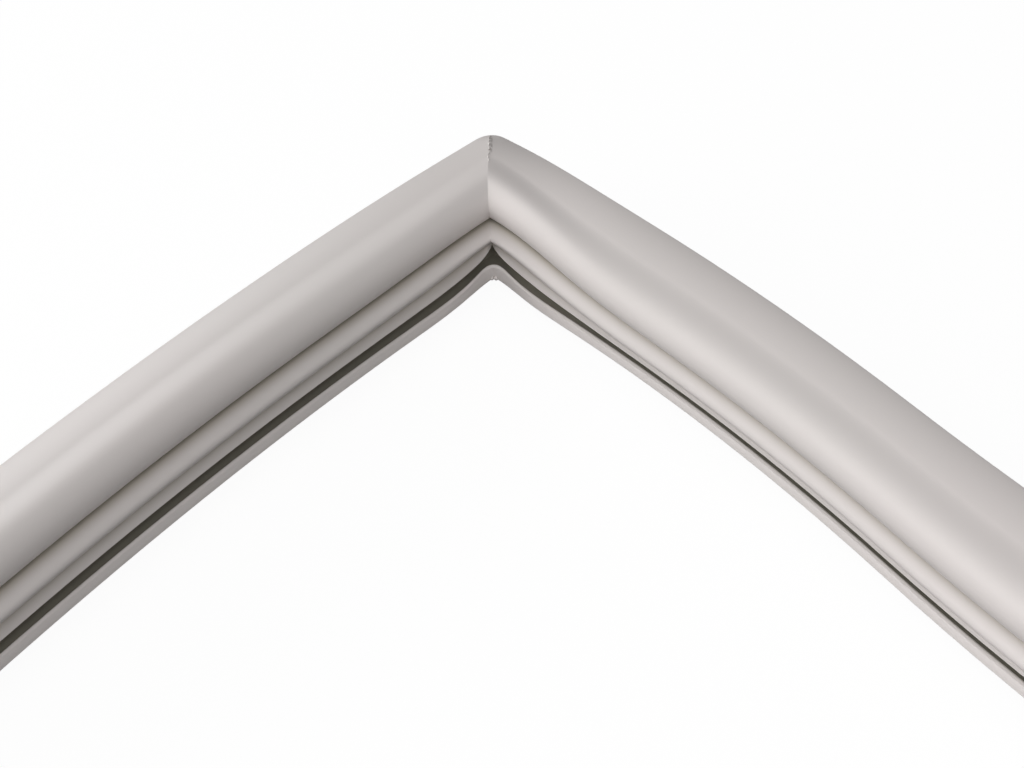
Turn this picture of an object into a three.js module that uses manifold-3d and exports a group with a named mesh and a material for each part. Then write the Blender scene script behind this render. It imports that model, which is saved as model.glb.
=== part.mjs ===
// Refrigerator door gasket: one soft vinyl extrusion, mitred and heat-welded at four corners into a
// closed frame, with a flexible ferrite magnet strip sealed in each side. It lies flat on its dart,
// sealing face up. Lengths are in millimetres and angles in degrees, +Z up.
import * as THREE from 'three';
import { mergeVertices } from 'three/addons/utils/BufferGeometryUtils.js';
import Module from 'manifold-3d';

const wasm = await Module();
wasm.setup();

// The frame, over the outer edges of its corners, in the slack shape it takes off the door
const frameLength = 720;
const frameWidth = 560;
const longSideBow = 31.3; // how far the middle of a long side is drawn in
const shortSideBow = 28.2;
const longSideLean = 5.3; // how far the head of the section rolls inward away from the corners
const shortSideLean = 18.8;
const leanReach = 29; // distance from a corner over which the roll builds up
const leanHingeOffset = 20; // the head rolls about this point of the section
const leanHingeHeight = 3;
const leanBlendHeight = 4; // height over which the roll fades out above the base
const stationsPerHalf = 8; // cross-sections between a corner and the middle of a side

// The section: offsets run inward from the outer edge, heights run up from the base's underside
const flangeReach = 28.2;
const flangeHeight = 3.1;
const flangeThickness = 1.1;
const flangeSlope = 0.6; // how far the flange's front leans back
const footOffset = 9.1;
const baseThickness = 1.6;
const edgeBreak = 0.4; // small chamfers along the base
const wallThickness = 1.2;
const wingTipHeight = 19.8;
const wingThickness = 1.1;
const wingRootOffset = 12;
const wingRootHeight = 21.2;
const faceCrownOffset = 5.5; // the broad face bulges towards this point
const faceCrownHeight = 22.7;
const valleyOffset = 11.5; // where the face turns up again towards the bulb
const valleyHeight = 23.7;
const valleyBlendOffset = 13; // and the point that the turn bends towards
const valleyBlendHeight = 23.9;
const bulbOffset = 20;
const bulbHeight = 20.2;
const bulbRadius = 5.4;
const bulbStartAngle = 105; // where the face meets the bulb
const upperCreaseAngle = -70; // where the bulb meets the fold below it
const foldReach = 27.2;
const foldHeight = 13.3;
const lowerCreaseOffset = 25.6;
const lowerCreaseHeight = 9.6;
const creaseDepth = 1;
const creaseDrop = 0.6;
const lipThickness = 0.8;
const lipFlare = 1; // how far the lip's edge stands inward of its root
const lipEdgeHeight = 5.4;
const channelBackOffset = 20.6;
const channelRoofHeight = 8.9;
const outerFoldReach = 8.2; // the two folds of the hidden outer wall
const outerCreaseOffset = 10.3;
const outerCreaseHeight = 9.4;
const outerFoldInset = 0.7; // the upper outer fold stands this much further in
const headCornerOffset = 11.4;
const headCornerHeight = 18.4;

// The dart that pushes into the door's groove, whose lips lie between its barbs and the base
const dartOffset = 18.5;
const dartDepth = 5.5;
const dartStemWidth = 2.2;
const dartBarbWidth = 5.4;
const dartBarbDepth = 2.7;
const dartTipWidth = 1.6;

// The magnet strips and their pocket, which is open to the air chamber through a slot in its floor
const magnetWidth = 9.8;
const magnetThickness = 2.6;
const magnetClearance = 0.3;
const magnetOffset = 18.4;
const pocketFloorHeight = 19.2;
const pocketFloorThickness = 1;
const pocketSlotWidth = 2.6;
const magnetEndGap = 12; // the strips are mitred this far along from a weld

// The welded corners
const lipLift = 3.6; // the weld draws the lip's edge up
const lipLiftReach = 2.6;
const weldDraw = 2; // and draws the folds and the flange outward
const weldDrawReach = 12;
const flangeLift = 1.6; // the flange stands higher at the weld, with its top edge filled round
const flangeLiftReach = 7;
const flangeFillet = 4;
const cornerRadius = 5; // the wing's corner is trimmed round
const cornerWidth = 6;

// Punched vent holes let the air chamber breathe through the base
const ventDiameter = 2.4;
const ventOffset = 13;
const ventPlace = 0.5; // as a share of the half side, from its middle
const ventSides = 12;

const curveSteps = 4;
const radians = THREE.MathUtils.degToRad;

const vinyl = new THREE.MeshStandardMaterial({ color: 0xc9c5c1, roughness: 0.55, metalness: 0 });
const ferrite = new THREE.MeshStandardMaterial({ color: 0x3a3633, roughness: 0.8, metalness: 0 });

// Outline of the vinyl, from under the wing's tip over the sealing face, down the inner side and back
function vinylOutline() {
  const upperCrease = bulbPoint(upperCreaseAngle);
  const bulbTop = bulbPoint(bulbStartAngle);
  const lipRoot = lowerCreaseOffset - creaseDepth;
  const lipEdge = lipRoot + lipFlare;
  const flangeTop = flangeReach - flangeSlope;
  const flangeBack = flangeTop - flangeThickness;
  const outline = new THREE.Shape();
  outline.moveTo(wingThickness / 4, wingTipHeight - wingThickness);
  outline.lineTo(0, wingTipHeight - wingThickness / 2);
  outline.lineTo(wingThickness / 4, wingTipHeight);
  outline.quadraticCurveTo(faceCrownOffset, faceCrownHeight, valleyOffset, valleyHeight);
  outline.quadraticCurveTo(valleyBlendOffset, valleyBlendHeight, bulbTop.x, bulbTop.y);
  const bulbStart = radians(bulbStartAngle);
  const bulbEnd = radians(upperCreaseAngle);
  outline.absarc(bulbOffset, bulbHeight, bulbRadius, bulbStart, bulbEnd, true);
  foldTo(outline, upperCrease, foldReach, foldHeight, lowerCreaseOffset, lowerCreaseHeight);
  outline.lineTo(lipRoot, lowerCreaseHeight - creaseDrop);
  outline.lineTo(lipRoot + lipFlare / 4, (lowerCreaseHeight + lipEdgeHeight) / 2);
  outline.lineTo(lipEdge, lipEdgeHeight + lipThickness / 2);
  outline.lineTo(lipEdge - lipThickness / 2, lipEdgeHeight);
  outline.lineTo(lipEdge - lipThickness, lipEdgeHeight + lipThickness / 2);
  outline.lineTo(lipRoot - lipThickness, channelRoofHeight);
  outline.lineTo(channelBackOffset, channelRoofHeight);
  outline.lineTo(channelBackOffset, baseThickness);
  outline.lineTo(flangeBack - edgeBreak, baseThickness);
  outline.lineTo(flangeBack, flangeHeight - edgeBreak);
  outline.lineTo(flangeBack + edgeBreak, flangeHeight);
  outline.lineTo(flangeTop, flangeHeight - edgeBreak);
  outline.lineTo(flangeReach, edgeBreak);
  outline.lineTo(flangeReach - edgeBreak, 0);
  outline.lineTo(dartOffset + dartStemWidth / 2, 0);
  outline.lineTo(dartOffset + dartStemWidth / 2, edgeBreak - dartBarbDepth);
  outline.lineTo(dartOffset + dartBarbWidth / 2, -dartBarbDepth);
  outline.lineTo(dartOffset + dartTipWidth / 2, -dartDepth);
  outline.lineTo(dartOffset - dartTipWidth / 2, -dartDepth);
  outline.lineTo(dartOffset - dartBarbWidth / 2, -dartBarbDepth);
  outline.lineTo(dartOffset - dartStemWidth / 2, edgeBreak - dartBarbDepth);
  outline.lineTo(dartOffset - dartStemWidth / 2, 0);
  outline.lineTo(footOffset + edgeBreak, 0);
  outline.lineTo(footOffset, edgeBreak);
  outline.lineTo(footOffset, baseThickness);
  const foot = new THREE.Vector2(footOffset, baseThickness);
  const outerCrease = new THREE.Vector2(outerCreaseOffset, outerCreaseHeight);
  const lowerMiddle = (baseThickness + outerCreaseHeight) / 2;
  const upperMiddle = (outerCreaseHeight + headCornerHeight) / 2;
  const upperReach = outerFoldReach + outerFoldInset;
  foldTo(outline, foot, outerFoldReach, lowerMiddle, outerCreaseOffset, outerCreaseHeight);
  foldTo(outline, outerCrease, upperReach, upperMiddle, headCornerOffset, headCornerHeight);
  outline.lineTo(wingRootOffset, wingRootHeight);
  outline.quadraticCurveTo(
    faceCrownOffset,
    faceCrownHeight - 2 * wingThickness,
    wingThickness / 4,
    wingTipHeight - wingThickness,
  );
  return outline.getPoints(curveSteps);
}

// Outline of the hollow: the magnet pocket, the slot in its floor and the air chamber below
function hollowOutline() {
  const upperCrease = bulbPoint(upperCreaseAngle);
  const pocketHalf = magnetWidth / 2 + magnetClearance;
  const pocketTop = pocketFloorHeight + magnetThickness + 2 * magnetClearance;
  const chamberTop = pocketFloorHeight - pocketFloorThickness;
  const slotHalf = pocketSlotWidth / 2;
  const bulbDrop = bulbHeight - chamberTop;
  const chamberSide = bulbOffset + Math.sqrt((bulbRadius - wallThickness) ** 2 - bulbDrop ** 2);
  const foldStart = new THREE.Vector2(upperCrease.x - wallThickness, upperCrease.y - wallThickness);
  const outline = new THREE.Shape();
  outline.moveTo(magnetOffset - pocketHalf, pocketFloorHeight);
  outline.lineTo(magnetOffset - pocketHalf, pocketTop);
  outline.lineTo(magnetOffset + pocketHalf, pocketTop);
  outline.lineTo(magnetOffset + pocketHalf, pocketFloorHeight);
  outline.lineTo(magnetOffset + slotHalf, pocketFloorHeight);
  outline.lineTo(magnetOffset + slotHalf, chamberTop);
  outline.lineTo(chamberSide, chamberTop);
  outline.lineTo(foldStart.x, upperCrease.y + wallThickness / 2);
  outline.lineTo(foldStart.x, foldStart.y);
  foldTo(
    outline,
    foldStart,
    foldReach - wallThickness,
    foldHeight,
    lowerCreaseOffset - wallThickness,
    lowerCreaseHeight + wallThickness / 2,
  );
  outline.lineTo(channelBackOffset, channelRoofHeight + wallThickness);
  outline.lineTo(channelBackOffset - wallThickness, channelRoofHeight);
  outline.lineTo(channelBackOffset - wallThickness, baseThickness);
  outline.lineTo(footOffset + wallThickness, baseThickness);
  const foot = new THREE.Vector2(footOffset + wallThickness, baseThickness);
  const crease = new THREE.Vector2(outerCreaseOffset + wallThickness, outerCreaseHeight);
  const lowerMiddle = (baseThickness + outerCreaseHeight) / 2;
  const upperMiddle = (outerCreaseHeight + chamberTop) / 2;
  foldTo(outline, foot, outerFoldReach + wallThickness, lowerMiddle, crease.x, crease.y);
  foldTo(
    outline,
    crease,
    outerFoldReach + outerFoldInset + wallThickness,
    upperMiddle,
    headCornerOffset + wallThickness,
    chamberTop,
  );
  outline.lineTo(magnetOffset - slotHalf, chamberTop);
  outline.lineTo(magnetOffset - slotHalf, pocketFloorHeight);
  outline.closePath();
  return outline.getPoints(curveSteps - 1);
}

// A point of the bulb's round, by its angle
function bulbPoint(degrees) {
  const spoke = new THREE.Vector2(bulbRadius, 0).rotateAround(new THREE.Vector2(), radians(degrees));
  return new THREE.Vector2(bulbOffset + spoke.x, bulbHeight + spoke.y);
}

// A bellows fold: a curve from start to an end that passes through the reach at the given height
function foldTo(outline, start, reach, height, endOffset, endHeight) {
  const controlOffset = 2 * reach - (start.x + endOffset) / 2;
  const controlHeight = 2 * height - (start.y + endHeight) / 2;
  outline.quadraticCurveTo(controlOffset, controlHeight, endOffset, endHeight);
}

// How much of an effect of the weld is left at a distance from the corner
function fade(distance, reach) {
  return Math.exp(-((distance / reach) ** 2));
}

// How far a value has gone from one end of a span to the other, from 0 to 1
function share(from, to, value) {
  return THREE.MathUtils.clamp((value - from) / (to - from), 0, 1);
}

// How far an arc cuts a right-angled corner back, at a distance from its mitre
function rounding(radius, distance) {
  if (distance >= radius) {
    return 0;
  }
  return radius - (distance + Math.sqrt(2 * radius ** 2 - distance ** 2)) / 2;
}

// One point of the section as the weld and the roll of the head leave it
function shapedPoint(point, distance, leanDegrees) {
  let offset = point.x;
  let height = point.y;
  const inLipOrFlange = point.x > channelBackOffset + wallThickness && point.y < channelRoofHeight;
  const overFlange = point.y > (flangeHeight + lipEdgeHeight) / 2;
  if (inLipOrFlange && overFlange) {
    const lowered = share(channelRoofHeight, lipEdgeHeight, point.y);
    height += lipLift * lowered * Math.exp(-distance / lipLiftReach);
  }
  if (inLipOrFlange && !overFlange && point.y > 0) {
    const raised = share(0, flangeHeight, point.y);
    offset += raised * rounding(flangeFillet, distance);
    height += raised * flangeLift * fade(distance, flangeLiftReach);
  }
  const inward = share(leanHingeOffset, flangeReach, point.x);
  const low = share(foldHeight, lowerCreaseHeight, point.y);
  offset -= weldDraw * inward * low * fade(distance, weldDrawReach);
  offset += share(cornerWidth, 0, point.x) * rounding(cornerRadius, distance);
  const head = THREE.MathUtils.smoothstep(point.y, baseThickness, baseThickness + leanBlendHeight);
  const roll = radians(leanDegrees) * head * (1 - fade(distance, leanReach));
  const arm = new THREE.Vector2(offset - leanHingeOffset, height - leanHingeHeight);
  arm.rotateAround(new THREE.Vector2(), -roll);
  return new THREE.Vector2(leanHingeOffset + arm.x, leanHingeHeight + arm.y);
}

// A side of the frame: how long it is, how far from the middle of the frame it lies and how it turns
function frameSide(length, distanceOut, bow, lean, turn) {
  return { half: length / 2, distanceOut, bow, lean, turn };
}

const sides = {
  back: frameSide(frameLength, frameWidth / 2, longSideBow, longSideLean, 0),
  left: frameSide(frameWidth, frameLength / 2, shortSideBow, shortSideLean, 90),
  front: frameSide(frameLength, frameWidth / 2, longSideBow, longSideLean, 180),
  right: frameSide(frameWidth, frameLength / 2, shortSideBow, shortSideLean, 270),
};

// The inward bow of a slack side: two equal arcs that meet halfway, level at the corner and the middle
function bowShare(fromCorner) {
  return fromCorner < 0.5 ? 2 * fromCorner ** 2 : 1 - 2 * (1 - fromCorner) ** 2;
}

// Where a cross-section stands on a side, from 1 at one corner to -1 at the next, closer by the welds
function stationPlace(station) {
  const along = 1 - station / stationsPerHalf;
  return Math.sign(along) * (1 - (1 - Math.abs(along)) ** 2);
}

// The place in the frame of a section point at a place along a side
function framePoint(side, place, point) {
  const fromCorner = 1 - Math.abs(place);
  const shaped = shapedPoint(point, fromCorner * side.half, side.lean);
  const across = side.distanceOut - shaped.x - side.bow * bowShare(fromCorner);
  const position = new THREE.Vector3(place * (side.half - shaped.x), across, shaped.y + dartDepth);
  return position.applyAxisAngle(new THREE.Vector3(0, 0, 1), radians(side.turn));
}

// A section carried once round the frame as a ring
function ringGeometry(outline) {
  const sideList = Object.values(sides);
  const stationsPerSide = 2 * stationsPerHalf;
  const ring = new THREE.LatheGeometry(outline, sideList.length * stationsPerSide);
  const positions = ring.getAttribute('position');
  for (let index = 0; index < positions.count; index += 1) {
    const station = Math.floor(index / outline.length) % (sideList.length * stationsPerSide);
    const side = sideList[Math.floor(station / stationsPerSide)];
    const place = stationPlace(station % stationsPerSide);
    const position = framePoint(side, place, outline[index % outline.length]);
    positions.setXYZ(index, position.x, position.y, position.z);
  }
  return ring;
}

// Outline of a magnet strip, clear of its pocket all round, with its underside divided where it
// leaves the pocket's ledges, so that it twists as they do
function magnetOutline() {
  const half = magnetWidth / 2;
  const slotHalf = pocketSlotWidth / 2;
  const floor = pocketFloorHeight + magnetClearance;
  const outline = new THREE.Shape();
  outline.moveTo(magnetOffset - half, floor);
  outline.lineTo(magnetOffset - half, floor + magnetThickness);
  outline.lineTo(magnetOffset + half, floor + magnetThickness);
  outline.lineTo(magnetOffset + half, floor);
  outline.lineTo(magnetOffset + slotHalf, floor);
  outline.lineTo(magnetOffset - slotHalf, floor);
  outline.closePath();
  return outline.getPoints();
}

// The room of one side between its two mitres, set back from each by the magnets' end gap
function sideRoomGeometry(side) {
  const depth = Math.min(side.half, side.distanceOut) - 2 * magnetEndGap;
  const outerHalf = side.half - magnetEndGap;
  const plan = new THREE.Shape();
  plan.moveTo(-outerHalf, side.distanceOut);
  plan.lineTo(outerHalf, side.distanceOut);
  plan.lineTo(outerHalf - depth, side.distanceOut - depth);
  plan.lineTo(depth - outerHalf, side.distanceOut - depth);
  plan.closePath();
  const height = 2 * (dartDepth + wingRootHeight);
  const room = new THREE.ExtrudeGeometry(plan, { depth: height, bevelEnabled: false });
  room.rotateZ(radians(side.turn));
  return room;
}

// A magnet strip: the part of the magnets' ring that lies in one side
function magnetGeometry(side) {
  return toGeometry(toSolid(ringGeometry(magnetOutline())).intersect(toSolid(sideRoomGeometry(side))));
}

// A closed geometry as a solid for joining and cutting
function toSolid(geometry) {
  const bare = geometry.clone();
  bare.deleteAttribute('normal');
  bare.deleteAttribute('uv');
  const merged = mergeVertices(bare, 1e-4);
  return new wasm.Manifold(new wasm.Mesh({
    numProp: 3,
    vertProperties: Float32Array.from(merged.getAttribute('position').array),
    triVerts: Uint32Array.from(merged.getIndex().array),
  }));
}

function toGeometry(solid) {
  const mesh = solid.getMesh();
  const geometry = new THREE.BufferGeometry();
  geometry.setAttribute('position', new THREE.BufferAttribute(Float32Array.from(mesh.vertProperties), 3));
  geometry.setIndex(new THREE.BufferAttribute(Uint32Array.from(mesh.triVerts), 1));
  geometry.computeVertexNormals();
  return geometry;
}

// The vinyl frame: the outline's ring, less the hollow and the vents
function vinylGeometry() {
  let body = toSolid(ringGeometry(vinylOutline()));
  body = body.subtract(toSolid(ringGeometry(hollowOutline())));
  for (const side of Object.values(sides)) {
    for (const place of [-ventPlace, ventPlace]) {
      body = body.subtract(toSolid(ventGeometry(side, place)));
    }
  }
  return toGeometry(body);
}

// A vent hole's cutter, through the base between its outer foot and the dart
function ventGeometry(side, place) {
  const radius = ventDiameter / 2;
  const cutter = new THREE.CylinderGeometry(radius, radius, 2 * baseThickness, ventSides);
  const middle = framePoint(side, place, new THREE.Vector2(ventOffset, baseThickness / 2));
  cutter.rotateX(Math.PI / 2);
  cutter.translate(middle.x, middle.y, middle.z);
  return cutter;
}

function namedMesh(name, geometry, material) {
  const mesh = new THREE.Mesh(geometry, material);
  mesh.name = name;
  return mesh;
}

const gasket = new THREE.Group();
gasket.add(namedMesh('vinyl_frame', vinylGeometry(), vinyl));
for (const [name, side] of Object.entries(sides)) {
  gasket.add(namedMesh(`magnet_strip_${name}`, magnetGeometry(side), ferrite));
}

export default gasket;
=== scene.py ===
import math

import bmesh
import bpy
from mathutils import Matrix, Vector


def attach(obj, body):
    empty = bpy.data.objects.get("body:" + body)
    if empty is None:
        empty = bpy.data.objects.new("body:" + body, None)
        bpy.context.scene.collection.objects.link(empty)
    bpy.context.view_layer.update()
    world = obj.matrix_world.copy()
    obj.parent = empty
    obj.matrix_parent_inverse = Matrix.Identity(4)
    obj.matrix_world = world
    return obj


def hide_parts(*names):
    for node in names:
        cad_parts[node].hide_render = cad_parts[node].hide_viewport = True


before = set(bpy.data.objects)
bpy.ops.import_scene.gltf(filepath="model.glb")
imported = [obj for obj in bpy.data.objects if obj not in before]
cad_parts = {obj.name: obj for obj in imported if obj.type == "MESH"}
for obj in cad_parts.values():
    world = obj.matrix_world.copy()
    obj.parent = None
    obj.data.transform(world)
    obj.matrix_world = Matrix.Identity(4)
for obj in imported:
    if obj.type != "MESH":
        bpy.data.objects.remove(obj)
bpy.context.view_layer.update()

# Vinyl frame
# The whole seal is one soft vinyl extrusion. Four lengths of it are mitred and heat-welded at the
# corners into a closed frame, which lies slack on its dart: the sides bow in and their heads roll in.
# Sizes are in millimetres. A section point is how far in from the wing's tip, and how high.
MM = 0.001
FRAME_LENGTH = 720
FRAME_WIDTH = 560
LONG_SIDE_BOW = 31.3
SHORT_SIDE_BOW = 28.2
LONG_SIDE_LEAN = math.radians(5.3)
SHORT_SIDE_LEAN = math.radians(18.8)
LEAN_REACH = 29
LEAN_HINGE = Vector((20, 3))
LEAN_BLEND = 4
STATIONS_PER_HALF = 48
STATION_CROWDING = 2.2

FLANGE_REACH = 28.2
FLANGE_HEIGHT = 3.1
FLANGE_THICKNESS = 1.1
FLANGE_SLOPE = 0.6
FOOT = 9.1
BASE = 1.6
EDGE_BREAK = 0.4
WALL = 1.2
WING_TIP_HEIGHT = 19.8
WING_THICKNESS = 1.1
WING_ROOT = (12, 21.2)
FACE_CROWN = (5.5, 22.7)
VALLEY = (11.5, 23.7)
VALLEY_BLEND = (14.7, 24)
BULB_BLEND = 3
BULB = Vector((20, 20.2))
BULB_RADIUS = 5.4
BULB_START_ANGLE = 70
UPPER_CREASE_ANGLE = -70
FOLD_REACH = 27.2
FOLD_HEIGHT = 13.3
LOWER_CREASE = (25.6, 9.6)
CREASE_DEPTH = 1
CREASE_DROP = 0.6
LIP_THICKNESS = 0.8
LIP_FLARE = 1.6
LIP_EDGE_HEIGHT = 5.4
CHANNEL_BACK = 20.6
CHANNEL_ROOF = 8.9
OUTER_FOLD_REACH = 8.2
OUTER_CREASE = (10.3, 9.4)
OUTER_FOLD_INSET = 0.7
HEAD_CORNER = (11.4, 18.4)

DART = 18.5
DART_DEPTH = 5.5
DART_STEM = 1.1
DART_BARB = 2.7
DART_BARB_DEPTH = 2.7
DART_TIP = 0.8

MAGNET = 18.4
POCKET_HALF = 5.2
POCKET_FLOOR = 19.2
POCKET_HEIGHT = 3.2
POCKET_FLOOR_THICKNESS = 1
SLOT_HALF = 1.3

LIP_LIFT = 3.6
LIP_LIFT_REACH = 2.6
WELD_DRAW = 2
WELD_DRAW_REACH = 12
CORNER_RADIUS = 5
CORNER_WIDTH = 6
FLANGE_FILLET = 4
FLANGE_LIFT = 1.6
FLANGE_LIFT_REACH = 7

VENT_RADIUS = 1.2
VENT = 13
VENT_PLACE = 0.5
VENT_SIDES = 24

CORNER_SOFTNESS = 0.14
SHARP_TURN = math.radians(24)
FACE_STEPS = 12
SWELL_STEPS = 16
BULB_STEPS = 22
FOLD_STEPS = 16
LIP_STEPS = 5
OUTER_STEPS = 10
HOLLOW_FOLD_STEPS = 5
HOLLOW_OUTER_STEPS = 4
SPIN_RADIUS = 100
# Painted shade: its strength in the creases, and the margin in millimetres round the channel and the base
CREASE_SHADE = 0.75
SHADE_EDGE = 0.2


def bulb_point(degrees):
    angle = math.radians(degrees)
    return BULB + BULB_RADIUS * Vector((math.cos(angle), math.sin(angle)))


def curve(start, control, end, steps):
    """The points of a curve after its start."""
    start, control, end = Vector(start), Vector(control), Vector(end)
    shares = [step / steps for step in range(1, steps + 1)]
    return [start.lerp(control, t).lerp(control.lerp(end, t), t) for t in shares]


def swell(steps):
    """The rise from the face's valley on to the bulb, level with both at its ends."""
    angle = math.radians(BULB_START_ANGLE)
    end = bulb_point(BULB_START_ANGLE)
    before = end - BULB_BLEND * Vector((math.sin(angle), -math.cos(angle)))
    first, second = Vector(VALLEY), Vector(VALLEY_BLEND)
    points = []
    for step in range(1, steps + 1):
        t = step / steps
        low = first.lerp(second, t).lerp(second.lerp(before, t), t)
        high = second.lerp(before, t).lerp(before.lerp(end, t), t)
        points.append(low.lerp(high, t))
    return points


def fold(start, reach, height, end, steps):
    """A bellows fold, which passes through the reach at the given height."""
    start, end = Vector(start), Vector(end)
    return curve(start, 2 * Vector((reach, height)) - (start + end) / 2, end, steps)


def bulb_round(steps):
    span = UPPER_CREASE_ANGLE - BULB_START_ANGLE
    return [bulb_point(BULB_START_ANGLE + span * step / steps) for step in range(1, steps + 1)]


def softened(points):
    """A closed outline with a small round on each of its sharp corners."""
    rounded = []
    for index, point in enumerate(points):
        point = Vector(point)
        before = Vector(points[index - 1]) - point
        after = Vector(points[(index + 1) % len(points)]) - point
        turn = math.pi - before.angle(after)
        reach = min(CORNER_SOFTNESS, before.length / 3, after.length / 3)
        if turn < SHARP_TURN:
            rounded.append(point)
        else:
            start = point + before.normalized() * reach
            end = point + after.normalized() * reach
            rounded += [start, *curve(start, point, end, 2)]
    return rounded


def vinyl_outline():
    """The section's outside, from under the wing's tip over the sealing face and back."""
    lip_root = LOWER_CREASE[0] - CREASE_DEPTH
    lip_top = LOWER_CREASE[1] - CREASE_DROP
    lip_edge = lip_root + LIP_FLARE
    flange_top = FLANGE_REACH - FLANGE_SLOPE
    flange_back = flange_top - FLANGE_THICKNESS
    wing_under = (WING_THICKNESS / 4, WING_TIP_HEIGHT - WING_THICKNESS)
    wing_over = (WING_THICKNESS / 4, WING_TIP_HEIGHT)
    foot = (FOOT, BASE)
    lower_middle = (BASE + OUTER_CREASE[1]) / 2
    upper_middle = (OUTER_CREASE[1] + HEAD_CORNER[1]) / 2
    upper_reach = OUTER_FOLD_REACH + OUTER_FOLD_INSET
    wing_control = Vector(FACE_CROWN) - Vector((0, 2 * WING_THICKNESS))
    lip_bend = (lip_root, (lip_top + LIP_EDGE_HEIGHT) / 2)
    return [
        wing_under,
        (0, WING_TIP_HEIGHT - WING_THICKNESS / 2),
        wing_over,
        *curve(wing_over, FACE_CROWN, VALLEY, FACE_STEPS),
        *swell(SWELL_STEPS),
        *bulb_round(BULB_STEPS),
        *fold(bulb_point(UPPER_CREASE_ANGLE), FOLD_REACH, FOLD_HEIGHT, LOWER_CREASE, FOLD_STEPS),
        (lip_root, lip_top),
        *curve((lip_root, lip_top), lip_bend, (lip_edge, LIP_EDGE_HEIGHT + LIP_THICKNESS / 2), LIP_STEPS),
        (lip_edge - LIP_THICKNESS / 2, LIP_EDGE_HEIGHT),
        (lip_edge - LIP_THICKNESS, LIP_EDGE_HEIGHT + LIP_THICKNESS / 2),
        (lip_root - LIP_THICKNESS, CHANNEL_ROOF),
        (CHANNEL_BACK, CHANNEL_ROOF),
        (CHANNEL_BACK, BASE),
        (flange_back - EDGE_BREAK, BASE),
        (flange_back, FLANGE_HEIGHT - EDGE_BREAK),
        (flange_back + EDGE_BREAK, FLANGE_HEIGHT),
        (flange_top, FLANGE_HEIGHT - EDGE_BREAK),
        (FLANGE_REACH, EDGE_BREAK),
        (FLANGE_REACH - EDGE_BREAK, 0),
        (DART + DART_STEM, 0),
        (DART + DART_STEM, EDGE_BREAK - DART_BARB_DEPTH),
        (DART + DART_BARB, -DART_BARB_DEPTH),
        (DART + DART_TIP, -DART_DEPTH),
        (DART - DART_TIP, -DART_DEPTH),
        (DART - DART_BARB, -DART_BARB_DEPTH),
        (DART - DART_STEM, EDGE_BREAK - DART_BARB_DEPTH),
        (DART - DART_STEM, 0),
        (FOOT + EDGE_BREAK, 0),
        (FOOT, EDGE_BREAK),
        foot,
        *fold(foot, OUTER_FOLD_REACH, lower_middle, OUTER_CREASE, OUTER_STEPS),
        *fold(OUTER_CREASE, upper_reach, upper_middle, HEAD_CORNER, OUTER_STEPS),
        WING_ROOT,
        *curve(WING_ROOT, wing_control, wing_under, OUTER_STEPS)[:-1],
    ]


def hollow_outline():
    """The magnet pocket, the slot in its floor and the air chamber below."""
    top = POCKET_FLOOR - POCKET_FLOOR_THICKNESS
    side = BULB.x + math.sqrt((BULB_RADIUS - WALL) ** 2 - (BULB.y - top) ** 2)
    crease = bulb_point(UPPER_CREASE_ANGLE)
    fold_start = (crease.x - WALL, crease.y - WALL)
    fold_end = (LOWER_CREASE[0] - WALL, LOWER_CREASE[1] + WALL / 2)
    foot = (FOOT + WALL, BASE)
    outer_crease = (OUTER_CREASE[0] + WALL, OUTER_CREASE[1])
    lower_middle = (BASE + OUTER_CREASE[1]) / 2
    upper_middle = (OUTER_CREASE[1] + top) / 2
    upper_reach = OUTER_FOLD_REACH + OUTER_FOLD_INSET + WALL
    head_corner = (HEAD_CORNER[0] + WALL, top)
    return [
        (MAGNET - POCKET_HALF, POCKET_FLOOR),
        (MAGNET - POCKET_HALF, POCKET_FLOOR + POCKET_HEIGHT),
        (MAGNET + POCKET_HALF, POCKET_FLOOR + POCKET_HEIGHT),
        (MAGNET + POCKET_HALF, POCKET_FLOOR),
        (MAGNET + SLOT_HALF, POCKET_FLOOR),
        (MAGNET + SLOT_HALF, top),
        (side, top),
        (crease.x - WALL, crease.y + WALL / 2),
        fold_start,
        *fold(fold_start, FOLD_REACH - WALL, FOLD_HEIGHT, fold_end, HOLLOW_FOLD_STEPS),
        (CHANNEL_BACK, CHANNEL_ROOF + WALL),
        (CHANNEL_BACK - WALL, CHANNEL_ROOF),
        (CHANNEL_BACK - WALL, BASE),
        foot,
        *fold(foot, OUTER_FOLD_REACH + WALL, lower_middle, outer_crease, HOLLOW_OUTER_STEPS),
        *fold(outer_crease, upper_reach, upper_middle, head_corner, HOLLOW_OUTER_STEPS),
        (MAGNET - SLOT_HALF, top),
        (MAGNET - SLOT_HALF, POCKET_FLOOR),
    ]


def fade(distance, reach):
    """A share that is 1 at a weld and dies away over the reach."""
    return math.exp(-((distance / reach) ** 2))


def share(start, end, value):
    """How far a value has gone from the start to the end, from 0 to 1."""
    return min(max((value - start) / (end - start), 0), 1)


def rounding(radius, distance):
    """How far an arc of the radius cuts a right-angled corner back, at a distance from its mitre."""
    if distance >= radius:
        return 0
    return radius - (distance + math.sqrt(2 * radius**2 - distance**2)) / 2


def smooth(value):
    return value * value * (3 - 2 * value)


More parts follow.
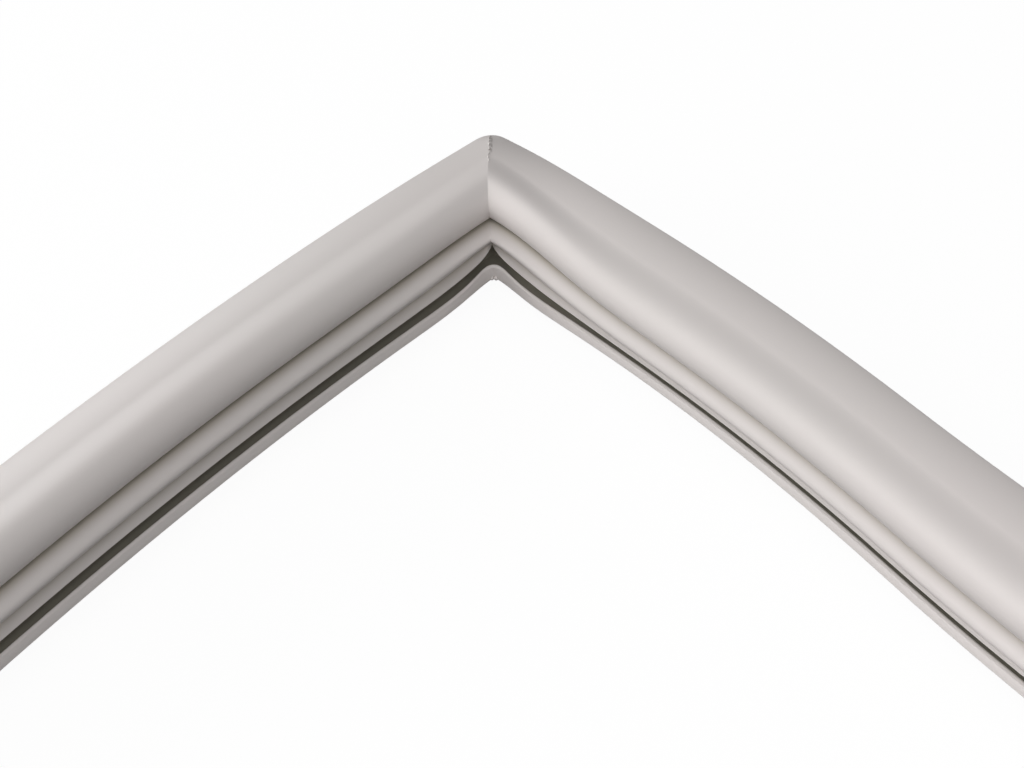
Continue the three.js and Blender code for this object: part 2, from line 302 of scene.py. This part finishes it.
def shaped_point(n, z, distance, lean):
    """One point of the section as the weld and the roll of the head leave it."""
    offset, height = n, z
    over_flange = z > (FLANGE_HEIGHT + LIP_EDGE_HEIGHT) / 2
    if over_flange and z < CHANNEL_ROOF and n > CHANNEL_BACK + WALL:
        lowered = share(CHANNEL_ROOF, LIP_EDGE_HEIGHT, z)
        height += LIP_LIFT * lowered * math.exp(-distance / LIP_LIFT_REACH)
    inward = share(LEAN_HINGE.x, FLANGE_REACH, n)
    low = share(FOLD_HEIGHT, LOWER_CREASE[1], z)
    offset -= WELD_DRAW * inward * low * fade(distance, WELD_DRAW_REACH)
    offset += share(CORNER_WIDTH, 0, n) * rounding(CORNER_RADIUS, distance)
    if n > CHANNEL_BACK + WALL and 0 < z < (FLANGE_HEIGHT + LIP_EDGE_HEIGHT) / 2:
        at_flange = share(0, FLANGE_HEIGHT, z)
        offset += at_flange * rounding(FLANGE_FILLET, distance)
        height += at_flange * FLANGE_LIFT * fade(distance, FLANGE_LIFT_REACH)
    roll = lean * smooth(share(BASE, BASE + LEAN_BLEND, z)) * (1 - fade(distance, LEAN_REACH))
    arm = Vector((offset, height)) - LEAN_HINGE
    arm.rotate(Matrix.Rotation(-roll, 2))
    return LEAN_HINGE + arm


# A side: half its length, how far it lies from the frame's middle, its bow, its lean and its turn
SIDES = [
    (FRAME_LENGTH / 2, FRAME_WIDTH / 2, LONG_SIDE_BOW, LONG_SIDE_LEAN, 0),
    (FRAME_WIDTH / 2, FRAME_LENGTH / 2, SHORT_SIDE_BOW, SHORT_SIDE_LEAN, 90),
    (FRAME_LENGTH / 2, FRAME_WIDTH / 2, LONG_SIDE_BOW, LONG_SIDE_LEAN, 180),
    (FRAME_WIDTH / 2, FRAME_LENGTH / 2, SHORT_SIDE_BOW, SHORT_SIDE_LEAN, 270),
]


def bow_share(from_corner):
    """Two equal arcs that meet halfway, level at the corner and at the middle."""
    if from_corner < 0.5:
        return 2 * from_corner**2
    return 1 - 2 * (1 - from_corner) ** 2


def frame_point(side, place, n, z):
    """The place in the frame of a section point, at a place along a side from 1 to -1."""
    half, out, bow, lean, turn = side
    from_corner = 1 - abs(place)
    shaped = shaped_point(n, z, from_corner * half, lean)
    across = out - shaped.x - bow * bow_share(from_corner)
    point = Vector((place * (half - shaped.x), across, shaped.y + DART_DEPTH))
    return Matrix.Rotation(math.radians(turn), 3, "Z") @ point * MM


def station_place(station):
    along = 1 - station / STATIONS_PER_HALF
    return math.copysign(1 - (1 - abs(along)) ** STATION_CROWDING, along)


def shade_of(n, z):
    """How much shade is painted into a point's colour, by how deep it lies in the channel, the creases and
    the lip: 1 deep in the channel.
    """
    if n < CHANNEL_BACK - SHADE_EDGE or z < SHADE_EDGE:
        return 0
    if z < FLANGE_HEIGHT + SHADE_EDGE / 2:
        flange_middle = FLANGE_REACH - FLANGE_SLOPE - FLANGE_THICKNESS / 2
        return share(flange_middle, FLANGE_REACH - 2 * FLANGE_THICKNESS, n)
    lip_root = LOWER_CREASE[0] - CREASE_DEPTH
    lip_height = LOWER_CREASE[1] - CREASE_DROP / 2
    if z < lip_height:
        flared = LIP_FLARE * share(lip_height, LIP_EDGE_HEIGHT, z) ** 2
        inner_face = n < lip_root - LIP_THICKNESS / 2 + flared
        return 1 if inner_face else CREASE_SHADE * share(LIP_EDGE_HEIGHT, lip_height, z) ** 2
    crease = bulb_point(UPPER_CREASE_ANGLE)
    if z < FOLD_HEIGHT:
        return CREASE_SHADE * share(LOWER_CREASE[1] + 1, lip_height, z)
    if z > crease.y + CREASE_DEPTH:
        return 0
    return CREASE_SHADE * share(FOLD_REACH - CREASE_DEPTH, crease.x + CREASE_DEPTH, n) ** 2


def ring(outline):
    """Spins an outline into a ring, then bends the ring to the mitred frame."""
    bm = bmesh.new()
    layers = {name: bm.verts.layers.float.new(name) for name in ("across", "along", "weld", "shade")}
    section = [bm.verts.new((SPIN_RADIUS + n, 0, z)) for n, z in outline]
    walked = 0
    for index, vert in enumerate(section):
        walked += (vert.co - section[index - 1].co).length if index else 0
        vert[layers["across"]] = walked
        bm.edges.new((section[index - 1], vert))
    stations = 2 * STATIONS_PER_HALF * len(SIDES)
    bmesh.ops.spin(
        bm,
        geom=bm.verts[:] + bm.edges[:],
        axis=(0, 0, 1),
        cent=(0, 0, 0),
        angle=2 * math.pi,
        steps=stations,
        use_merge=True,
    )
    for vert in bm.verts:
        turn = math.atan2(vert.co.y, vert.co.x) / (2 * math.pi)
        station = round(turn * stations) % stations
        side_index, side_station = divmod(station, 2 * STATIONS_PER_HALF)
        side = SIDES[side_index]
        place = station_place(side_station)
        n = vert.co.xy.length - SPIN_RADIUS
        vert[layers["along"]] = place * side[0]
        vert[layers["weld"]] = math.copysign((1 - abs(place)) * side[0], place)
        # The amount of shade to paint into the colour here, kept on the vertex for the vinyl material
        vert[layers["shade"]] = shade_of(n, vert.co.z)
        vert.co = frame_point(side, place, n, vert.co.z)
    bmesh.ops.recalc_face_normals(bm, faces=bm.faces)
    return bm


def made_object(name, bm):
    """A smooth-shaded object of the mesh, which is used up."""
    mesh = bpy.data.meshes.new(name)
    for face in bm.faces:
        face.smooth = True
    bm.to_mesh(mesh)
    bm.free()
    made = bpy.data.objects.new(name, mesh)
    bpy.context.scene.collection.objects.link(made)
    return made


# The vinyl with its hollow, whose walls face inwards, and the vents punched through its base
seal_outline = softened(vinyl_outline())
seal = ring(seal_outline)
hollow = ring(hollow_outline())
bmesh.ops.reverse_faces(hollow, faces=hollow.faces)
hollow_mesh = bpy.data.meshes.new("hollow")
hollow.to_mesh(hollow_mesh)
hollow.free()
seal.from_mesh(hollow_mesh)
bpy.data.meshes.remove(hollow_mesh)
vinyl = made_object("vinyl_seal", seal)

punches = bmesh.new()
for side in SIDES:
    for place in (-VENT_PLACE, VENT_PLACE):
        bmesh.ops.create_cone(
            punches,
            cap_ends=True,
            segments=VENT_SIDES,
            radius1=VENT_RADIUS * MM,
            radius2=VENT_RADIUS * MM,
            depth=2 * BASE * MM,
            matrix=Matrix.Translation(frame_point(side, place, VENT, BASE / 2)),
        )
punch = made_object("vent_punch", punches)
cut = vinyl.modifiers.new("vents", "BOOLEAN")
cut.operation = "DIFFERENCE"
cut.solver = "EXACT"
cut.object = punch
vinyl.data = bpy.data.meshes.new_from_object(vinyl.evaluated_get(bpy.context.evaluated_depsgraph_get()))
vinyl.modifiers.clear()
bpy.data.objects.remove(punch)


class Value:
    """A shader socket that can be used in sums, and that makes the other nodes."""

    def __init__(self, tree, socket):
        self.tree = tree
        self.socket = socket

    def node(self, kind, settings=None, values=None, output=0):
        made = self.tree.nodes.new(kind)
        for key, setting in (settings or {}).items():
            setattr(made, key, setting)
        for key, value in (values or {}).items():
            if isinstance(value, Value):
                self.tree.links.new(value.socket, made.inputs[key])
            else:
                made.inputs[key].default_value = value
        return Value(self.tree, made.outputs[output])

    def maths(self, operation, *others):
        return self.node("ShaderNodeMath", {"operation": operation}, dict(enumerate((self, *others))))

    def blend(self, low, high):
        """The colour between two others, by this share."""
        return self.node("ShaderNodeMix", {"data_type": "RGBA"}, {0: self, 6: low, 7: high}, 2)

    def feed(self, socket):
        self.tree.links.new(self.socket, socket)

    def __add__(self, other):
        return self.maths("ADD", other)

    def __sub__(self, other):
        return self.maths("SUBTRACT", other)

    def __mul__(self, other):
        return self.maths("MULTIPLY", other)

    def __truediv__(self, other):
        return self.maths("DIVIDE", other)

    __radd__ = __add__
    __rmul__ = __mul__


def hump(value, centre, width):
    """A share that is 1 at the centre and fades to 0 at the width."""
    away = ((value - centre) / width).maths("ABSOLUTE")
    return away.node("ShaderNodeMapRange", {"interpolation_type": "SMOOTHSTEP"}, {0: away, 1: 1.0, 2: 0.0})


def noise(start, vector, scale, detail=2.0):
    return start.node("ShaderNodeTexNoise", {}, {"Vector": vector, "Scale": scale, "Detail": detail})


def spread(value, low, high):
    """A share that rises from 0 at the low value to 1 at the high one."""
    return value.node("ShaderNodeMapRange", {}, {0: value, 1: low, 2: high})


def attribute(start, name):
    return start.node("ShaderNodeAttribute", {"attribute_name": name}, output=2)


def new_material(name):
    """A material, its shader, and a starting value for its sums."""
    material = bpy.data.materials.new(name)
    material.use_nodes = True
    shader = material.node_tree.nodes["Principled BSDF"]
    return material, shader, Value(material.node_tree, None)


VINYL_GREY = (0.672, 0.638, 0.618, 1)
VINYL_PINK = (0.7, 0.65, 0.637, 1)
# Painted shade: the creases and the lip are darkened towards tan, and the depth of the channel towards brown
FOLD_SHADE_TAN = (0.5, 0.46, 0.405, 1)
CHANNEL_SHADE_BROWN = (0.27, 0.25, 0.205, 1)
# Painted shade: the dark grey of the band painted along one side of each weld seam
SEAM_SHADE_GREY = (0.28, 0.265, 0.25, 1)
VINYL_ROUGHNESS = 0.48
VINYL_SHINE = 0.3
MOTTLE_SCALE = 9.0
MOTTLE_RANGE = (0.25, 0.75)
MOTTLE_ROUGHNESS = 0.04
# Painted shade: where the band lies beside the weld seam and across the broad face, and its patchy noise
SEAM_SHADE_PLACE = -0.8
SEAM_SHADE_WIDTH = 0.7
SEAM_SHADE_MIDDLE = 9
SEAM_SHADE_REACH = 6
SEAM_SHADE_SCALE = 420.0
SEAM_SHADE_RANGE = (0.42, 0.58)
DRAW_LINES = 3.0
DRAW_LINE_STRETCH = 0.02
DRAW_STRENGTH = 0.12
DRAW_DEPTH = 0.0001

vinyl_material, vinyl_shader, start = new_material("soft_vinyl")
coordinates = start.node("ShaderNodeTexCoord", output=3)
across = attribute(start, "across")
along = attribute(start, "along")
weld = attribute(start, "weld")
shade = attribute(start, "shade")
mottle = noise(start, coordinates, MOTTLE_SCALE, 1.0)
colour = spread(mottle, *MOTTLE_RANGE).blend(VINYL_GREY, VINYL_PINK)
# Painted shade: the shade attribute tints the creases and the lip tan, and the depth of the channel brown
colour = (shade * 2.0).maths("MINIMUM", 1.0).blend(colour, FOLD_SHADE_TAN)
deep_shade = (shade * 2.0 - 1.0).maths("MAXIMUM", 0.0)
colour = deep_shade.blend(colour, CHANNEL_SHADE_BROWN)
# Painted shade: a patchy dark band along one side of each weld seam over the broad face, in place of the
# shade beside the flash bead
seam_shade_patches = noise(start, coordinates, SEAM_SHADE_SCALE)
seam_shade = hump(weld, SEAM_SHADE_PLACE, SEAM_SHADE_WIDTH) * hump(across, SEAM_SHADE_MIDDLE, SEAM_SHADE_REACH)
seam_shade = seam_shade * spread(seam_shade_patches, *SEAM_SHADE_RANGE)
seam_shade.blend(colour, SEAM_SHADE_GREY).feed(vinyl_shader.inputs["Base Color"])
roughness = mottle * MOTTLE_ROUGHNESS + (VINYL_ROUGHNESS - MOTTLE_ROUGHNESS / 2)
roughness.feed(vinyl_shader.inputs["Roughness"])
stretched = {0: across * DRAW_LINES, 1: along * DRAW_LINE_STRETCH, 2: 0.0}
drawn = noise(start, start.node("ShaderNodeCombineXYZ", {}, stretched), 1.0)
bump = start.node("ShaderNodeBump", {}, {"Strength": DRAW_STRENGTH, "Distance": DRAW_DEPTH, "Height": drawn})
bump.feed(vinyl_shader.inputs["Normal"])
vinyl_shader.inputs["Specular IOR Level"].default_value = VINYL_SHINE
vinyl.data.materials.append(vinyl_material)
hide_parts("vinyl_frame")
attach(vinyl, "root")

# Weld flash
# Where the mitred ends were melted together, a thin bead of vinyl stands along the seam over the
# broad face, and two small beads hang at the flange's inner corner.
FLASH_START = 10
FLASH_END = 26
FLASH_RADIUS = 0.32
FLASH_SIDES = 8
FLASH_TAPER = 0.4
FLASH_LUMPS = 0.2
FLASH_LUMP_STEP = 2.3
FLASH_WAVE = 0.14
FLASH_WAVE_STEP = 0.9
FLASH_COLOUR = (0.72, 0.68, 0.655, 1)
BEAD_RADIUS = 0.62
BEAD_SPREAD = 0.55
BEAD_REACH = 0.3
BEAD_SEGMENTS = 16

flash = bmesh.new()
beads = bmesh.new()
for side in SIDES:
    route = [frame_point(side, 1, n, z) for n, z in seal_outline[FLASH_START:FLASH_END]]
    turn = side[4]
    leg = Matrix.Rotation(math.radians(turn), 3, "Z") @ Vector((1, 0, 0))
    loops = []
    for step, point in enumerate(route):
        taper = math.sin(math.pi * (step + 0.5) / len(route)) ** FLASH_TAPER
        lumps = 1 - FLASH_LUMPS + FLASH_LUMPS * math.sin(FLASH_LUMP_STEP * step + turn)
        radius = FLASH_RADIUS * taper * lumps
        shift = FLASH_WAVE * math.sin(FLASH_WAVE_STEP * step + turn) * leg
        heading = (route[min(step + 1, len(route) - 1)] - route[max(step - 1, 0)]).normalized()
        turned = heading.to_track_quat("Z", "X").to_matrix().to_4x4()
        made = bmesh.ops.create_circle(
            flash,
            segments=FLASH_SIDES,
            radius=radius * MM,
            matrix=Matrix.Translation(point + shift * MM) @ turned,
        )
        loops.append(made["verts"])
    for first, second in zip(loops, loops[1:]):
        edges = {edge for vert in first + second for edge in vert.link_edges if len(edge.link_faces) == 0}
        own = [e for e in edges if all(v in first for v in e.verts) or all(v in second for v in e.verts)]
        bmesh.ops.bridge_loops(flash, edges=own)
    for ends in (loops[0], loops[-1]):
        bmesh.ops.contextual_create(flash, geom=ends)
    inner = frame_point(side, 1, FLANGE_REACH, EDGE_BREAK)
    diagonal = Vector((-inner.x, -inner.y, 0)).normalized()
    sideways = Vector((-diagonal.y, diagonal.x, 0))
    for spread in (-BEAD_SPREAD, BEAD_SPREAD):
        middle = inner + (spread * sideways + BEAD_REACH * diagonal) * MM
        bmesh.ops.create_uvsphere(
            beads,
            u_segments=BEAD_SEGMENTS,
            v_segments=BEAD_SEGMENTS // 2,
            radius=BEAD_RADIUS * MM,
            matrix=Matrix.Translation(middle),
        )
bmesh.ops.recalc_face_normals(flash, faces=flash.faces)
flash_object = made_object("weld_flash", flash)
flash_material, flash_shader, start = new_material("melted_vinyl")
flash_shader.inputs["Base Color"].default_value = FLASH_COLOUR
flash_shader.inputs["Roughness"].default_value = VINYL_ROUGHNESS
flash_shader.inputs["Specular IOR Level"].default_value = VINYL_SHINE
flash_object.data.materials.append(flash_material)
beads_object = made_object("weld_beads", beads)
beads_object.data.materials.append(vinyl_material)
for welded in (flash_object, beads_object):
    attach(welded, "root")

# Magnet strips
# A flat strip of ferrite-filled rubber lies in the pocket of each side. It is cut to a mitre and
# pushed in before the corners are welded, so none of it shows.
FERRITE_COLOUR = (0.045, 0.04, 0.037, 1)
FERRITE_ROUGHNESS = 0.6
GRAIN_SCALE = 900.0
GRAIN_ROUGHNESS = 0.3

ferrite_material, ferrite_shader, start = new_material("ferrite_rubber")
coordinates = start.node("ShaderNodeTexCoord", output=3)
grain = noise(start, coordinates, GRAIN_SCALE)
ferrite_shader.inputs["Base Color"].default_value = FERRITE_COLOUR
(grain * GRAIN_ROUGHNESS + FERRITE_ROUGHNESS).feed(ferrite_shader.inputs["Roughness"])
for side_name in ("back", "left", "front", "right"):
    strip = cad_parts[f"magnet_strip_{side_name}"]
    strip.data.materials.clear()
    strip.data.materials.append(ferrite_material)

# Floor and light
# The seal lies on a plain white sheet, lit softly from the left with a fill from the front.
FLOOR_SIZE = 6
FLOOR_GREY = 0.35
FLOOR_ROUGHNESS = 0.9
FLOOR_GLOW = 1.12
FLOOR_GLOW_SHARE = 0.85
AMBIENT = 0.06
LAMP_SIZE = 1.4
LAMP_DISTANCE = 2.2

# The photograph is taken along the corner's diagonal: away from the camera is towards the corner
away_axis = Vector((1, 1, 0)).normalized()
right_axis = Vector((1, -1, 0)).normalized()
up_axis = Vector((0, 0, 1))


def seen_direction(right, away, up):
    return right * right_axis + away * away_axis + up * up_axis


sheet = bmesh.new()
bmesh.ops.create_grid(sheet, x_segments=1, y_segments=1, size=FLOOR_SIZE / 2)
floor = made_object("floor", sheet)
floor_material, floor_shader, start = new_material("white_sheet")
floor_shader.inputs["Base Color"].default_value = (FLOOR_GREY, FLOOR_GREY, FLOOR_GREY, 1)
floor_shader.inputs["Roughness"].default_value = FLOOR_ROUGHNESS
camera_ray = start.node("ShaderNodeLightPath")
glow = start.node("ShaderNodeEmission", {}, {"Color": (1, 1, 1, 1), "Strength": FLOOR_GLOW})
own = Value(floor_material.node_tree, floor_shader.outputs[0])
seen = start.node("ShaderNodeMixShader", {}, {0: camera_ray * FLOOR_GLOW_SHARE, 1: own, 2: glow})
seen.feed(floor_material.node_tree.nodes["Material Output"].inputs["Surface"])
floor.data.materials.append(floor_material)

world = bpy.data.worlds.new("studio")
bpy.context.scene.world = world
world.use_nodes = True
background = world.node_tree.nodes["Background"]
rays = Value(world.node_tree, None).node("ShaderNodeLightPath")
(rays * (1 - AMBIENT) + AMBIENT).feed(background.inputs["Strength"])
background.inputs["Color"].default_value = (1, 1, 1, 1)


def soft_lamp(name, azimuth, elevation, power):
    """A round softbox that faces the photographed corner. Azimuth 0 is straight behind the corner."""
    azimuth, elevation = math.radians(azimuth), math.radians(elevation)
    flat = math.cos(elevation)
    direction = seen_direction(math.sin(azimuth) * flat, math.cos(azimuth) * flat, math.sin(elevation))
    data = bpy.data.lights.new(name, "AREA")
    data.shape = "DISK"
    data.size = LAMP_SIZE
    data.energy = power
    lamp = bpy.data.objects.new(name, data)
    corner = Vector((FRAME_LENGTH / 2, FRAME_WIDTH / 2, 0)) * MM
    lamp.location = corner + direction * LAMP_DISTANCE
    lamp.rotation_mode = "QUATERNION"
    lamp.rotation_quaternion = direction.to_track_quat("Z", "Y")
    bpy.context.scene.collection.objects.link(lamp)


soft_lamp("key_left", -115, 18, 21)
soft_lamp("high_left", -140, 50, 12)
soft_lamp("front", 175, 40, 17)
soft_lamp("back_right", 60, 20, 4)
soft_lamp("back_left", -40, 20, 20)
soft_lamp("top", 0, 90, 3)

# Camera
# It looks down at one corner from inside the frame, as the photograph does. The focus is in pixels
# of a picture that is as wide as the photograph.
CORNER_HEIGHT = DART_DEPTH
CAMERA_ELEVATION = math.radians(42.43)
CAMERA_AZIMUTH = math.radians(3.15)
CAMERA_ROLL = math.radians(-4.59)
CAMERA_FOCUS = 1529
CAMERA_DISTANCE = 411
CAMERA_SHIFT = (-4.4, 51.5)
IMAGE_WIDTH = 1024
SENSOR_WIDTH = 36

back = seen_direction(
    math.sin(CAMERA_AZIMUTH) * math.cos(CAMERA_ELEVATION),
    -math.cos(CAMERA_AZIMUTH) * math.cos(CAMERA_ELEVATION),
    math.sin(CAMERA_ELEVATION),
)
level = seen_direction(math.cos(CAMERA_AZIMUTH), math.sin(CAMERA_AZIMUTH), 0)
upright = back.cross(level)
right = math.cos(CAMERA_ROLL) * level + math.sin(CAMERA_ROLL) * upright
up = math.cos(CAMERA_ROLL) * upright - math.sin(CAMERA_ROLL) * level
camera_data = bpy.data.cameras.new("camera")
camera_data.sensor_width = SENSOR_WIDTH
camera_data.lens = CAMERA_FOCUS * SENSOR_WIDTH / IMAGE_WIDTH
camera = bpy.data.objects.new("camera", camera_data)
target = Vector((FRAME_LENGTH / 2, FRAME_WIDTH / 2, CORNER_HEIGHT))
eye = target - CAMERA_SHIFT[0] * right - CAMERA_SHIFT[1] * up + CAMERA_DISTANCE * back
turned = Matrix((right, up, back)).transposed().to_4x4()
camera.matrix_world = Matrix.Translation(eye * MM) @ turned
bpy.context.scene.collection.objects.link(camera)
bpy.context.scene.camera = camera
bpy.context.scene.view_settings.view_transform = "Standard"
